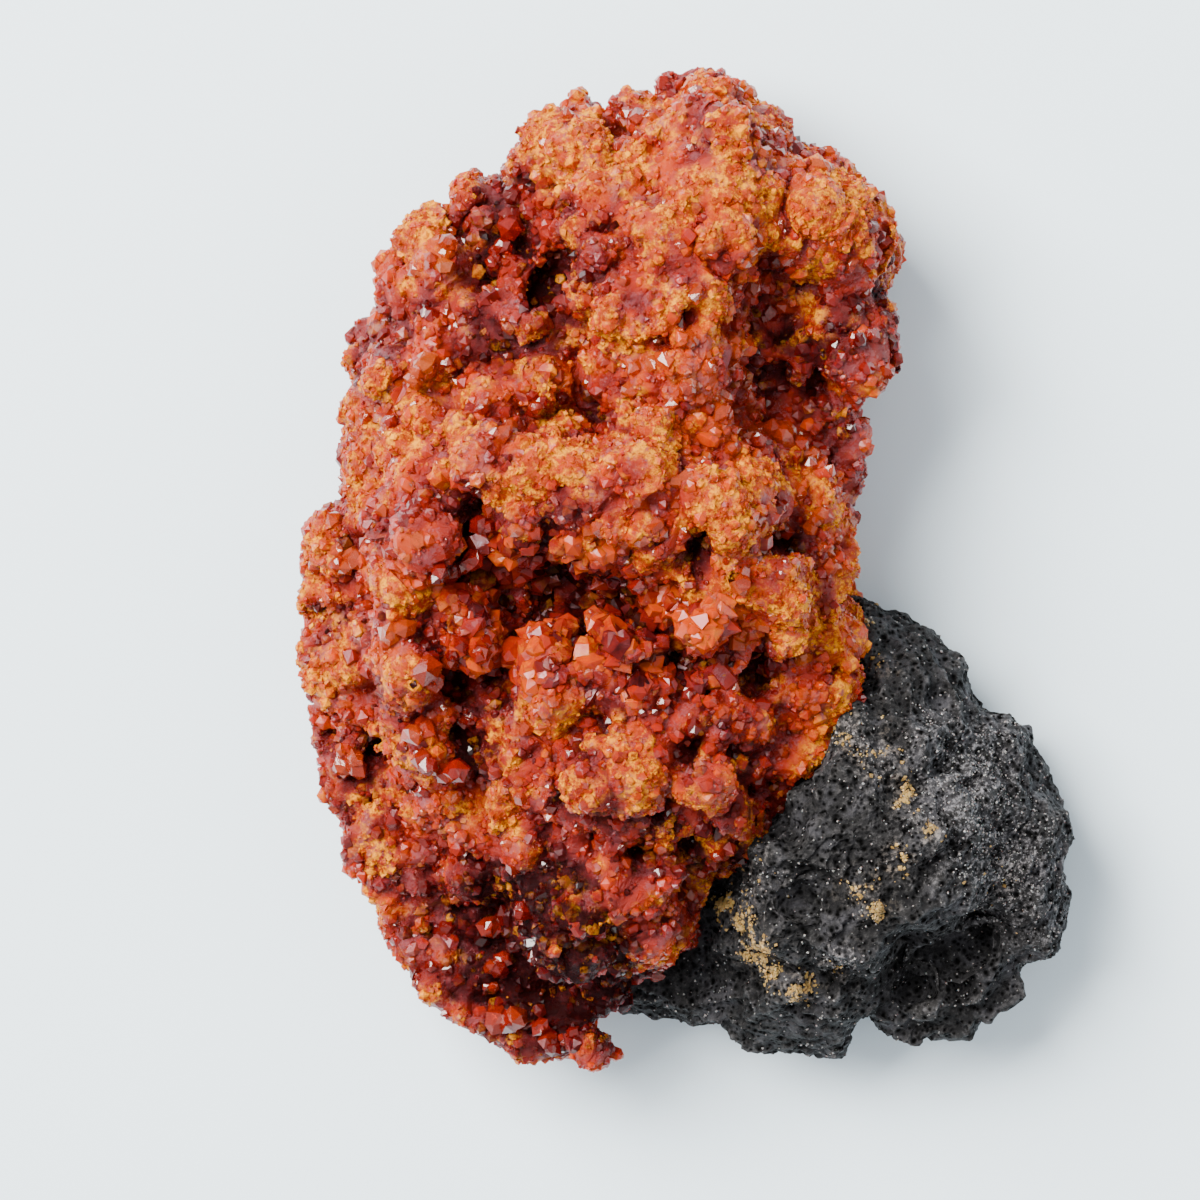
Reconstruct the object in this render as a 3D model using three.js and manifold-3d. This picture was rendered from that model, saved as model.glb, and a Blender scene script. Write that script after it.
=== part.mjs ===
// A specimen of zincite on matrix: an orange-red crust of zincite crystals grown over one side
// of a piece of black, vesicular rock. The specimen lies on its back, crystals up.
// Millimetres, +Z up, +X and +Y across the face that is seen from above.
// The zincite is one body of crowded knobs with crystals fused to it, the lining of its hollow
// is a thin druse of its own, and the rock is the third piece.

import * as THREE from "three";
import { ImprovedNoise } from "three/addons/math/ImprovedNoise.js";
import { mergeVertices } from "three/addons/utils/BufferGeometryUtils.js";
import Module from "manifold-3d";

const wasm = await Module();
wasm.setup();

// Driving dimensions
const ORIGIN = [1.12, 0.61]; // middle of the specimen's length and width, in the places used below
const GAP = 0.3; // left between two pieces that touch
const BASE_DEPTH = -1.5; // how low the masses reach before the underside is cut flat at 0
const REACH = 2.9; // how far from its place a height counts
const FAR_WEIGHT = 1e-12; // what a height counts for when it is far away
const SQUARENESS = 4; // how long the top of a mass stays level before it falls to the sides
const FULLNESS = 0.42; // how round its shoulders are, 1 being a straight slope
const KNOB_MEAN = 0.4; // how far out an average place on the knobs is, taken off again
const CRYSTALS = 92;
const CRYSTAL_SIDES = 6;
const CRYSTAL_WIDTH = 2.5; // across an average crystal, from edge to edge
const CRYSTAL_SPREAD = 0.3; // share of its width that it may be wider or narrower
const CRYSTAL_LENGTH = 1.8; // times its width
const CRYSTAL_SHOULDER = 0.2; // times its length from its middle to where its point begins
const CRYSTAL_LEAN = 0.5; // how far a crystal's axis may lean from square to the surface
const CRYSTAL_SUNK = 0.25; // times its width that its middle lies under the surface
const SIDE_SHARE = 0.35; // of the crystals that grow on the sides
const SIDE_RISE = [-0.2, 0.35]; // rise of the lowest and highest direction to them
const EDGE_LIMIT = 0.92; // how near the edge of a mass a placed crystal stands
const DRUSE_THICKNESS = 1.2; // of the lining in the hollow
const DRUSE_CRYSTALS = 12;
const DRUSE_CRYSTAL_WIDTH = 1.4;
const DRUSE_HIGHEST = -0.3; // rise of the highest direction from the hollow to its crystals
const HOLLOW_FACET = 2.8; // length of a facet's edge in the hollows and pits
const HOLLOW_ROUGHNESS = 0.14; // share of a hollow's size that its wall is pushed in and out
const TABLE_HALF = 60; // half the width of the block that cuts the underside flat
const SLOPE_STEP = 0.05; // between the directions that a surface's slope is taken from
const MERGE_DISTANCE = 1e-4; // under which two corners are one
const CRYSTAL_SEED = 12;
const DRUSE_SEED = 5;

// The zincite as seen from above: its edge, and heights of its surface as [x, y, z]
const ZINCITE = {
  middle: [-4, 2],
  rim: 10, // height of the widest part of its sides
  detail: 11, // steps along each edge of the ball that it is shaped from
  lumpiness: 1.5, // how far knobs stand out
  knobSteps: [0.19, 0.43], // knobs for each mm, coarse and fine
  edge: [
    [11.8, -0.5], [11.3, 1.5], [10.9, 3.5], [11.2, 5.5], [12.2, 8], [12, 10.5], [11.2, 12.5],
    [12.7, 15], [13.4, 19], [13.8, 21.5], [14.2, 24], [13.3, 26], [11.5, 27], [10, 28.7],
    [8, 29.5], [6.3, 31.2], [5, 32.8], [2.5, 35.2], [0.2, 33.4], [-2.6, 30.8], [-4.5, 31.8],
    [-6.5, 31], [-8, 29.3], [-10, 27.4], [-12.4, 25.5], [-14, 23.3], [-15.7, 23.2], [-16.7, 20.9],
    [-18.3, 19.8], [-19, 17.6], [-21, 15.2], [-21.3, 12.5], [-22, 11], [-21.7, 9], [-22.5, 7.5],
    [-21.5, 5.3], [-23.6, 4], [-24.6, 1.5], [-24.5, -2], [-24.7, -4.5], [-24.3, -7], [-23, -11],
    [-23, -14], [-22, -18], [-20, -21.5], [-18, -25.5], [-16, -29.5], [-13, -30.8], [-10.5, -32],
    [-8.5, -32.4], [-6.2, -31.8], [-5, -29.8], [-4, -27], [-2.5, -26.5], [1.5, -23.5], [2, -19.5],
    [6, -18], [8.5, -16.5], [11, -12], [11.6, -8],
  ],
  heights: [
    [-1, 31, 18], [3, 27.5, 23], [10, 25, 20], [-4, 24, 22], [2, 19, 24], [-11, 25.5, 16],
    [-15, 22, 16], [-16, 14.5, 18], [-20, 9.5, 13], [-10.5, 18, 18], [-7, 15, 17], [8, 18, 15],
    [12.5, 16.5, 16], [13.5, 23.5, 17], [2, 13, 21], [7.5, 11, 14], [10.5, 9.5, 11],
    [-15.5, 8.5, 22], [-9, 8, 25.5], [-1, 8.5, 26], [6, 7.5, 25], [10.5, 3.5, 20], [4, 2, 22],
    [-3, 3.5, 22], [-7, -0.5, 20], [-12, 2, 20], [1.5, -2.5, 20], [-15.5, 4.5, 22],
    [-17, 0.5, 21], [-16, -5, 20], [-16, -11, 18], [-23, 2, 12], [-22.5, -5, 13], [-21, -12, 10],
    [-11, -5.5, 17], [-6.5, -4.5, 20], [-1, -6, 21.5], [3, -8, 20.5], [9, -10, 16],
    [-2, -11.5, 22], [-9.5, -12.5, 18], [-1, -18, 19], [-5, -22.5, 17], [-12, -17, 14],
    [9, -3, 18], [-11.5, -25.5, 9], [-9.5, -30, 8], [-19, -18, 12], [-16, -25, 9],
  ],
};

// The rock in the same way, with the flat breaks across it
const ROCK = {
  middle: [11, -19],
  rim: 7,
  detail: 8,
  lumpiness: 1.3,
  knobSteps: [0.27, 0.6],
  edge: [
    [12.5, -0.5], [14, -1.5], [16.5, -2.3], [17.7, -3.8], [18.7, -4.8], [19.8, -7.2], [21.2, -8.7],
    [23, -8.8], [24.4, -11.2], [25.4, -13.8], [26.4, -15.4], [26.9, -17], [26.9, -19], [26.6, -21.4],
    [26.2, -23.7], [25.3, -25.4], [23.9, -26.1], [22.4, -28.4], [20.8, -30.9], [17.8, -30.6], [15, -31.9],
    [13.5, -30], [13, -28.5], [11.7, -30.5], [10.5, -32.7], [8, -33], [5.2, -31.4], [1.7, -29.3],
    [0.8, -31], [-2.5, -31], [-5, -30], [-7.5, -28.5], [-7.5, -24.5], [-3.5, -19],
    [1.5, -13.5], [7, -7], [10.5, -1.5],
  ],
  heights: [
    [13.5, -4, 11], [15.5, -9, 15], [21, -12, 13], [13, -14, 18], [18.5, -15, 17], [24, -18.5, 12],
    [9.5, -20, 18], [16, -20.5, 17], [7.5, -27.5, 13], [19.5, -26.5, 10], [1, -27, 9],
    [-2.5, -24, 8], [0, -18, 9], [5, -10, 9],
  ],
};
const ROCK_BREAKS = [
  { through: [22, -17, 13.5], facing: [1, -0.1, 0.9] },
  { through: [14, -28, 12.5], facing: [-0.1, -1, 0.9] },
  { through: [21, -9, 11], facing: [0.7, 0.7, 0.5] },
  { through: [3, -29, 9.5], facing: [-0.5, -0.9, 0.8] },
];
const ROCK_PITS = [
  { at: [12.6, -31.5, 9], half: [1.2, 2.6, 9] },
  { at: [19.5, -24.5, 12], half: [2.2, 1.6, 4] },
  { at: [16.5, -27.5, 11.5], half: [1.6, 1.2, 3.5] },
  { at: [9, -20, 19], half: [1.8, 1.3, 3] },
  { at: [17.5, -17.5, 18], half: [1.5, 2.1, 3] },
  { at: [20.5, -12.5, 15], half: [1.6, 1.3, 3] },
];

// Hollows cut into the zincite, the first ones together being the big one that the druse lines
const BIG_HOLLOW = [
  { at: [-7, -0.3, 22], half: [7.5, 5.6, 7.5] },
  { at: [-12.8, 2.2, 22], half: [2.5, 2.8, 5] },
  { at: [1.8, -2.3, 21], half: [5.5, 3.4, 5] },
];
const SMALL_HOLLOWS = [
  { at: [-7.5, 22, 21], half: [2.4, 3, 6] },
  { at: [-6, 12.5, 21], half: [3.6, 2.2, 6] },
  { at: [0.5, 17.5, 24], half: [1, 1, 3] },
];

// Places and widths of the largest crystals
const LARGE_CRYSTALS = [
  [-15.2, 4.8, 4.4],
  [-10.8, 25.8, 3],
  [-15.3, -5.4, 2.9],
  [-15.2, -9.8, 2.9],
  [7.2, 10.4, 3.4],
  [12.8, 16.8, 3.4],
  [-21, -11.5, 2.8],
  [-5.3, 29.3, 2.6],
  [-18.5, 14, 3],
  [9.5, 26, 2.8],
];

const perlin = new ImprovedNoise();

// A repeatable random number from 0 to 1
function makeRandom(seed) {
  let state = seed;
  return () => {
    state = (state + 0x6d2b79f5) | 0;
    let mixed = Math.imul(state ^ (state >>> 15), 1 | state);
    mixed = (mixed + Math.imul(mixed ^ (mixed >>> 7), 61 | mixed)) ^ mixed;
    return ((mixed ^ (mixed >>> 14)) >>> 0) / 2 ** 32;
  };
}

// Round knobs with creases between them, from -0.5 in a crease to about 1 on a knob
function knobbed({ x, y, z }, [coarse, fine]) {
  const big = Math.abs(perlin.noise(x * coarse, y * coarse, z * coarse));
  const small = Math.abs(perlin.noise(x * fine, y * fine, z * fine));
  return 2 * big + small - 0.5;
}

// How far the edge of a mass lies from its middle in the direction (x, y)
function edgeReach({ middle, edge }, x, y) {
  return edge.reduce((most, [ax, ay], i) => {
    const [bx, by] = edge[(i + 1) % edge.length];
    const [px, py] = [ax - middle[0], ay - middle[1]];
    const [sx, sy] = [bx - ax, by - ay];
    const cross = x * sy - y * sx;
    const along = (px * y - py * x) / cross;
    const reach = (px * sy - py * sx) / cross;
    return along >= 0 && along < 1 && reach > most ? reach : most;
  }, 0);
}

// The height of a mass at a place: a mean of its listed heights, the near ones counting most
function heightAt({ heights }, x, y) {
  const weights = heights.map(([hx, hy]) => {
    const away = Math.hypot(x - hx, y - hy);
    return Math.exp(-((away / REACH) ** 2)) + FAR_WEIGHT;
  });
  const total = weights.reduce((sum, weight) => sum + weight, 0);
  return heights.reduce((sum, [, , z], i) => sum + z * weights[i], 0) / total;
}

// The point of a mass's surface that lies in the direction of a unit ray, moved out by `grow`
function surfaceOf(mass, ray, grow = 0) {
  const level = Math.hypot(ray.x, ray.y);
  const reach = level * edgeReach(mass, ray.x / (level || 1), ray.y / (level || 1));
  const x = mass.middle[0] + (reach * ray.x) / (level || 1);
  const y = mass.middle[1] + (reach * ray.y) / (level || 1);
  const crown = (1 - Math.min(1, level) ** SQUARENESS) ** FULLNESS;
  const end = ray.z > 0 ? heightAt(mass, x, y) : BASE_DEPTH;
  const place = new THREE.Vector3(x, y, mass.rim + (end - mass.rim) * crown);
  const push = mass.lumpiness * (knobbed(place, mass.knobSteps) - KNOB_MEAN) + grow;
  return place.addScaledVector(ray, push);
}

// The ray to the place (x, y) on the upper side of a mass
function rayTo(mass, x, y) {
  const [sideX, sideY] = [x - mass.middle[0], y - mass.middle[1]];
  const away = Math.hypot(sideX, sideY);
  const level = Math.min(EDGE_LIMIT, away / edgeReach(mass, sideX / away, sideY / away));
  return new THREE.Vector3((level * sideX) / away, (level * sideY) / away, Math.sqrt(1 - level * level));
}

// The direction square to a mass's surface at a ray
function outwardOf(mass, ray) {
  const side = new THREE.Vector3(0, 0, 1).cross(ray).normalize().multiplyScalar(SLOPE_STEP);
  const rise = ray.clone().cross(side);
  const here = surfaceOf(mass, ray);
  const across = surfaceOf(mass, ray.clone().add(side).normalize()).sub(here);
  const upward = surfaceOf(mass, ray.clone().add(rise).normalize()).sub(here);
  return across.cross(upward).normalize();
}

// A closed geometry as a solid that can be joined and cut
function solidOf(geometry) {
  const bare = new THREE.BufferGeometry().setAttribute("position", geometry.getAttribute("position"));
  bare.setIndex(geometry.index);
  const merged = mergeVertices(bare, MERGE_DISTANCE);
  return new wasm.Manifold(
    new wasm.Mesh({
      numProp: 3,
      vertProperties: merged.attributes.position.array,
      triVerts: new Uint32Array(merged.index.array),
    }),
  );
}

// A ball of flat facets with each corner moved to where `moved` puts it
function shapedBall(detail, moved) {
  const geometry = new THREE.IcosahedronGeometry(1, detail);
  const places = geometry.getAttribute("position");
  for (let i = 0; i < places.count; i++) {
    const { x, y, z } = moved(new THREE.Vector3().fromBufferAttribute(places, i));
    places.setXYZ(i, x, y, z);
  }
  return solidOf(geometry);
}

function massSolid(mass, grow) {
  return shapedBall(mass.detail, (ray) => surfaceOf(mass, ray, grow));
}

function joined(solids) {
  return wasm.Manifold.union(solids);
}

// Of a solid that cutting has left in several bodies, the largest
function largestBody(solid) {
  return solid.decompose().reduce((most, one) => (one.volume() > most.volume() ? one : most));
}

// The wall of a hollow or pit in the direction of a ray from its middle, moved out by `grow`
function wallOf({ at, half }, ray, grow = 0) {
  const place = ray.clone().multiply(new THREE.Vector3(...half));
  const push = 1 + HOLLOW_ROUGHNESS * knobbed(place, ZINCITE.knobSteps);
  return place.multiplyScalar(push).addScaledVector(ray, grow).add(new THREE.Vector3(...at));
}

function hollows(list, grow) {
  return joined(
    list.map((hollow) => {
      const [length, width, depth] = hollow.half;
      const size = Math.cbrt(length * width * depth);
      const detail = Math.max(1, Math.round(size / HOLLOW_FACET));
      return shapedBall(detail, (ray) => wallOf(hollow, ray, grow));
    }),
  );
}

// A random direction whose rise is between `low` and `high`
function randomRay(low, high, random) {
  const turn = 2 * Math.PI * random();
  const rise = low + (high - low) * random();
  const level = Math.sqrt(1 - rise * rise);
  return new THREE.Vector3(level * Math.cos(turn), level * Math.sin(turn), rise);
}

// A random place within the edge of a mass, no place being likelier than another
function randomPlace(mass, random) {
  const [middleX, middleY] = mass.middle;
  const most = Math.max(...mass.edge.map(([x, y]) => Math.hypot(x - middleX, y - middleY)));
  for (;;) {
    const [sideX, sideY] = [most * (2 * random() - 1), most * (2 * random() - 1)];
    const away = Math.hypot(sideX, sideY);
    if (away < edgeReach(mass, sideX / away, sideY / away)) {
      return [middleX + sideX, middleY + sideY];
    }
  }
}

// The direction to a random crystal: on the sides, or anywhere on the upper side
function crystalRay(mass, random) {
  return random() < SIDE_SHARE
    ? randomRay(...SIDE_RISE, random)
    : rayTo(mass, ...randomPlace(mass, random));
}

// A six-sided prism with a pyramid on its outer end, sunk in the surface at `place` and leaning at random
function crystal(place, outward, width, random) {
  const lean = randomRay(-1, 1, random).multiplyScalar(CRYSTAL_LEAN * random());
  const middle = place.clone().addScaledVector(outward, -CRYSTAL_SUNK * width);
  const length = width * CRYSTAL_LENGTH;
  const outline = [
    new THREE.Vector2(0, -length / 2),
    new THREE.Vector2(width / 2, -length / 2),
    new THREE.Vector2(width / 2, length * CRYSTAL_SHOULDER),
    new THREE.Vector2(0, length / 2),
  ];
  const axis = outward.clone().add(lean).normalize();
  const geometry = new THREE.LatheGeometry(outline, CRYSTAL_SIDES);
  geometry.rotateY(Math.PI * random());
  geometry.applyQuaternion(new THREE.Quaternion().setFromUnitVectors(new THREE.Vector3(0, 1, 0), axis));
  geometry.translate(middle.x, middle.y, middle.z);
  return solidOf(geometry);
}

// Everything under the surface that the specimen lies on
function underTable() {
  const box = new THREE.BoxGeometry(2 * TABLE_HALF, 2 * TABLE_HALF, TABLE_HALF);
  box.translate(0, 0, -TABLE_HALF / 2);
  return solidOf(box);
}

// What a flat break has taken off: a block whose lower face is the break
function brokenOff({ through, facing }, grow) {
  const outward = new THREE.Vector3(...facing).normalize();
  const block = new THREE.BoxGeometry(TABLE_HALF, TABLE_HALF, TABLE_HALF);
  block.translate(0, 0, TABLE_HALF / 2 + grow);
  block.applyQuaternion(new THREE.Quaternion().setFromUnitVectors(new THREE.Vector3(0, 0, 1), outward));
  block.translate(...through);
  return solidOf(block);
}

function rock(grow = 0) {
  const broken = ROCK_BREAKS.map((one) => brokenOff(one, grow));
  const taken = joined([...broken, hollows(ROCK_PITS, -grow), underTable()]);
  return largestBody(massSolid(ROCK, grow).subtract(taken));
}

function zincite() {
  const random = makeRandom(CRYSTAL_SEED);
  const large = LARGE_CRYSTALS.map(([x, y, width]) => ({ ray: rayTo(ZINCITE, x, y), width }));
  const small = Array.from({ length: CRYSTALS }, () => ({
    ray: crystalRay(ZINCITE, random),
    width: CRYSTAL_WIDTH * (1 + CRYSTAL_SPREAD * (2 * random() - 1)),
  }));
  const crystals = [...large, ...small].map(({ ray, width }) =>
    crystal(surfaceOf(ZINCITE, ray), outwardOf(ZINCITE, ray), width, random),
  );
  const grown = joined([massSolid(ZINCITE).subtract(hollows(SMALL_HOLLOWS)), ...crystals]);
  return largestBody(grown.subtract(joined([hollows(BIG_HOLLOW), rock(GAP), underTable()])));
}

// The lining of the big hollow: a thin bowl with crystals standing in it
function druse() {
  const random = makeRandom(DRUSE_SEED);
  const inner = -GAP - DRUSE_THICKNESS;
  const room = hollows(BIG_HOLLOW, -GAP).intersect(massSolid(ZINCITE));
  const bowl = room.subtract(hollows(BIG_HOLLOW, inner));
  const crystals = Array.from({ length: DRUSE_CRYSTALS }, (_, i) => {
    const ray = randomRay(-1, DRUSE_HIGHEST, random);
    const place = wallOf(BIG_HOLLOW[i % BIG_HOLLOW.length], ray, inner);
    return crystal(place, ray.negate(), DRUSE_CRYSTAL_WIDTH, random);
  });
  return largestBody(joined([bowl, ...crystals]).intersect(room));
}

function meshOf(name, solid, color, roughness) {
  const { vertProperties, triVerts } = solid.getMesh();
  const geometry = new THREE.BufferGeometry()
    .setAttribute("position", new THREE.BufferAttribute(new Float32Array(vertProperties), 3))
    .setIndex(new THREE.BufferAttribute(new Uint32Array(triVerts), 1));
  const material = new THREE.MeshStandardMaterial({ color, roughness, metalness: 0, flatShading: true });
  const mesh = new THREE.Mesh(geometry, material);
  mesh.name = name;
  mesh.position.set(-ORIGIN[0], -ORIGIN[1], 0);
  return mesh;
}

const specimen = new THREE.Group();
specimen.add(
  meshOf("matrix", rock(), 0x2b2b2d, 0.85),
  meshOf("zincite_crust", zincite(), 0xb5431c, 0.35),
  meshOf("hollow_druse", druse(), 0x5e140d, 0.2),
);

export default specimen;
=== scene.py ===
"""A specimen of zincite on matrix, dressed for its photograph.

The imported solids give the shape. Here the zincite becomes a rough, knobbed crust that carries thousands
of small faceted crystals, and the rock becomes a pitted, vesicular one with mineral crumbs on it.
Sizes in millimetres are turned into Blender's metres by MM. The tables of forms and looks place
everything as the photograph's camera sees it.
"""

import math
from itertools import combinations

import bpy
import numpy as np
from mathutils import Matrix, Vector, noise


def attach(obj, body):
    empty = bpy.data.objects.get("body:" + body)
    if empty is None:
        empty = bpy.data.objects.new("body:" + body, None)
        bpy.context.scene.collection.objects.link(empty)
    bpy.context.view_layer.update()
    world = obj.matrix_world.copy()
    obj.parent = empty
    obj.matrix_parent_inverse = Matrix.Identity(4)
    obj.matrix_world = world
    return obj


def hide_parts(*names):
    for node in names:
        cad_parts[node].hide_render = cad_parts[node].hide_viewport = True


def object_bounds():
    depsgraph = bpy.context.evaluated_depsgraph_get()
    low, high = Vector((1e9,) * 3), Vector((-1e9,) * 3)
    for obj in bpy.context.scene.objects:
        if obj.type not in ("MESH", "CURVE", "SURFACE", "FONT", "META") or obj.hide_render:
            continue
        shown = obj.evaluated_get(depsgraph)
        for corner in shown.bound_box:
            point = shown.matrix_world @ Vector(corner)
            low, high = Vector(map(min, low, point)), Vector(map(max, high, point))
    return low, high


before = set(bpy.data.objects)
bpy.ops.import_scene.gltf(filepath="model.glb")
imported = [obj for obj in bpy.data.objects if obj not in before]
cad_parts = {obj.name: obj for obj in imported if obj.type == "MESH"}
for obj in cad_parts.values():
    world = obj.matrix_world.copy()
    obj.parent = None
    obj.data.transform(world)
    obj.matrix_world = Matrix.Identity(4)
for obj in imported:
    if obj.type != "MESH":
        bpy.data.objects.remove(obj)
cad_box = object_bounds()

MM = 0.001

# The camera, as in the photograph: above the specimen, a little to the right and the top of the picture
VIEW_DISTANCE = 700 * MM
VIEW_WIDTH = 80 * MM  # what the photograph's frame spans at the specimen
VIEW_MIDDLE = Vector((-6.24, -2.26, 6)) * MM
TOWARDS_CAMERA = Vector((0.0906, 0.139, 0.986)).normalized()
SENSOR = 36.0
CLIP_END = 10

# The studio, in metres and watts
FLOOR_SIZE = 4
FLOOR_COLOR = (0.74, 0.89, 1.0)
FLOOR_ROUGHNESS = 0.9
ROOM_COLOR = (0.95, 0.95, 0.95)
ROOM_STRENGTH = 1.0
LIGHT_SIZE = 0.5
KEY_PLACE = (-0.35, 0.35, 0.6)
KEY_POWER = 27.0
KEY_COLOR = (1, 0.95, 0.88)
FILL_PLACE = (0.5, 0.1, 0.5)
FILL_POWER = 1.0
FILL_COLOR = (1, 0.97, 0.93)

# How fine the remeshed surfaces are
CRUST_VOXEL = 0.36 * MM
DRUSE_VOXEL = 0.25 * MM
ROCK_VOXEL = 0.2 * MM
CRUST_SOFTENING = 4  # rounds of smoothing before the knobs
DRUSE_SOFTENING = 3

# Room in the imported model's box
TIP_ROOM = 0.6  # mm that the outermost surface gives way by, so that its knobs stay round
TIP_FADE = 3 * TIP_ROOM  # mm from the box at which that ends
ROOM_SHARE = 0.85  # of the way to the box that a point may be pushed
BOX_MARGIN = 0.02 * MM  # kept between the finest mesh and the box

# Guards against dividing by nothing
LEAST_DIRECTION = 1e-6
LEAST_AREA = 1e-15  # square metres
LEAST_CHANCE = 1e-9  # of a tan crumb in any place

# Where a surface faces the camera, by the cosine of the angle between them: 0 at the first, 1 at the second
FACING_FROM = -0.3
FACING_TO = 0.35

# Where a surface is far enough above the floor, in mm, to be pushed and to carry crystals
SOFTENED_HEIGHTS = (0.1, 1.2)
KNOBBED_HEIGHTS = (0.2, 2.0)
ROUGH_HEIGHTS = (0.2, 1.5)
GROWN_HEIGHTS = (0.3, 1.5)

# Knobs on the zincite: mm between them, seed, height in mm, and the share of it under the old surface
KNOBS = (
    (4.6, 6, 0.5, 0.7),
    (2.7, 1, 0.8, 0.65),
    (1.5, 2, 0.65, 0.6),
)
FROSTED_CALM = 0.4  # share of the knobs' height that the frosted places lose
FORM_HEIGHT = 1.35  # times the heights in ZINCITE_FORMS
CRUST_RISE = 0.2  # mm that the whole surface is pushed out
DOME_RADIUS = 0.85  # of a knob or a vesicle, times the distance between them
SEED_SHIFT = (7.3, 3.1, 5.7)  # that a seed moves the knobs by, times the distance between them

# Noise on the surfaces: mm between its waves, and how much it counts
CRUST_LUMPS = ((2.0, 0.6), (0.9, 0.35))
ROCK_LUMPS = ((3.4, 0.5), (1.3, 0.25), (0.5, 0.16))
FROST_PATCHES = ((2.8, 1.3), (1.1, 0.8))
TONE_PATCHES = ((4.5, 0.5), (2.4, 0.7), (1.2, 0.5))
FROST_SHIFT = 10 * MM  # between the noise that frosts and the noise that tones

# Relief: how far a point stands above the smoothed surface, in mm
RELIEF_ROUNDS = 25  # of smoothing
FINE_RELIEF_ROUNDS = 5

# The zincite's frost, from 0 to 1
RELIEF_FROST = 0.7  # what a mm of relief adds
FROST_RANGE = (0.15, 0.9)  # where frost begins and where it is full

# The zincite's tone, from 0 for dark to 1 for light. Part of it is painted shade and light: darker in
# creases, hollows and shadows, lighter on knobs
BASE_TONE = 0.39
FROST_TONE = 0.29  # what full frost adds
SPOT_TONE_AND_SHADE = 1.15  # times what ZINCITE_SPOTS says
# Painted shade and light: the relief darkens the tone in creases and lightens it on knobs
RELIEF_LIGHT_AND_SHADE = 0.12  # what a mm of relief adds
FINE_RELIEF_LIGHT_AND_SHADE = 0.3
FINE_RELIEF_LIGHT_AND_SHADE_RANGE = (-0.4, 0.3)
PATCH_TONE = 0.9
PATCH_RANGE = (-0.15, 0.27)

# The rock's looks, from its relief and its streaks
RIDGE_GAIN = 1.4
DUST_GAIN = 0.6
STREAK_WAVES = 1.3  # mm
STREAK_BASE = 0.3
STREAK_GAIN = 3.5
STREAK_RELIEF = 1.5
STAIN_BASE = 0.3  # how much of a stain shows between the streaks

# Vesicles in the rock: mm between them, seed, where each begins and is deepest, depth in mm, then the
# waves and the level of the noise that leaves some out
VESICLES = (
    (1.6, 4, 0.6, 0.9, 0.3, 2.6, 0.1),
    (0.8, 5, 0.5, 0.85, 0.16, 1.7, -0.1),
)

# Crystals and crumbs: how many, their least and greatest width in mm, their length over it, how far
# their axes stray from the surface's normal, and the share of their length that their middle is sunk
MEDIUM = (8000, 0.35, 1.25, 1.0, 0.6, 0.1)
FINE = (18000, 0.15, 0.5, 0.9, 0.8, 0.0)
CLEAR = (1800, 0.4, 1.2, 1.0, 0.5, 0.1)
DRUSE = (1500, 0.5, 1.9, 1.0, 0.6, 0.2)
TAN = (1500, 0.12, 0.45, 0.8, 0.8, 0.0)
PALE = (4500, 0.08, 0.26, 0.8, 0.8, 0.0)
SHORTEST = 0.8  # the least that a crystal's length is multiplied by
LENGTH_SPREAD = 0.5  # from there to the most
UNEVENNESS = 0.12  # share of its size that a crystal's corners stray by
ROOM_ABOVE = 0.75  # of a crystal's length that may stand out of the surface
CLEAR_TONE = 0.7  # the lightest that a small clear crystal may be

# How likely a place is to carry them: without frost or dust, and what full frost takes away
MEDIUM_ON_BARE = 1.1
MEDIUM_LOST_TO_FROST = 0.8
FINE_ON_BARE = 0.3
CLEAR_ON_BARE = 1.05
CLEAR_ON_DARK = 0.1
DRUSE_TURNED_AWAY = 0.01
PALE_ON_BARE = 0.12

# How far the tone and the frost stray from one to the next
TONE_SPREAD = 0.09
FROST_SPREAD = 0.2
CLEAR_TONE_SPREAD = 0.06
DRUSE_TONE_SPREAD = 0.16
CRUMB_TONE_SPREAD = 0.25
CRUMB_TONE = 0.5
DRUSE_FROST = 0.4  # times the frost of the druse's surface

# The clusters at the places in NAMED_CRYSTALS
CLUSTER = 4  # crystals in each
CLUSTER_REACH = 0.4  # mm from the place, within which the surface nearest to the camera is looked for
CLUSTER_SPREAD = 0.3  # times their width
CLUSTER_WIDTH = 0.6  # times the width that is given for the place
CLUSTER_LEAST = 0.75  # the least that a crystal's width is multiplied by
CLUSTER_SIZES = 0.5  # from there to the most
CLUSTER_TOWARDS = 0.6  # how far the axes turn from the normal towards the camera
CLUSTER_LEAN = 0.4
CLUSTER_TONES = 0.08  # how far the tones stray

# Noise in the materials: mm between its coarsest waves, detail and roughness
MOTTLE_NOISE = (0.9, 6.0, 0.7)
GRAIN_NOISE = (0.7, 6.0, 0.75)
DRY_NOISE = (1.1, 8.0, 0.8)
SHEEN_NOISE = (2.2, 8.0, 0.8)
FACET_NOISE = (0.25, 6.0, 0.75)
GLASS_NOISE = (0.5, 3.0, 0.6)
ROCK_NOISE = (2.5, 8.0, 0.7)
FINE_ROCK_NOISE = (0.4, 8.0, 0.8)

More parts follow.
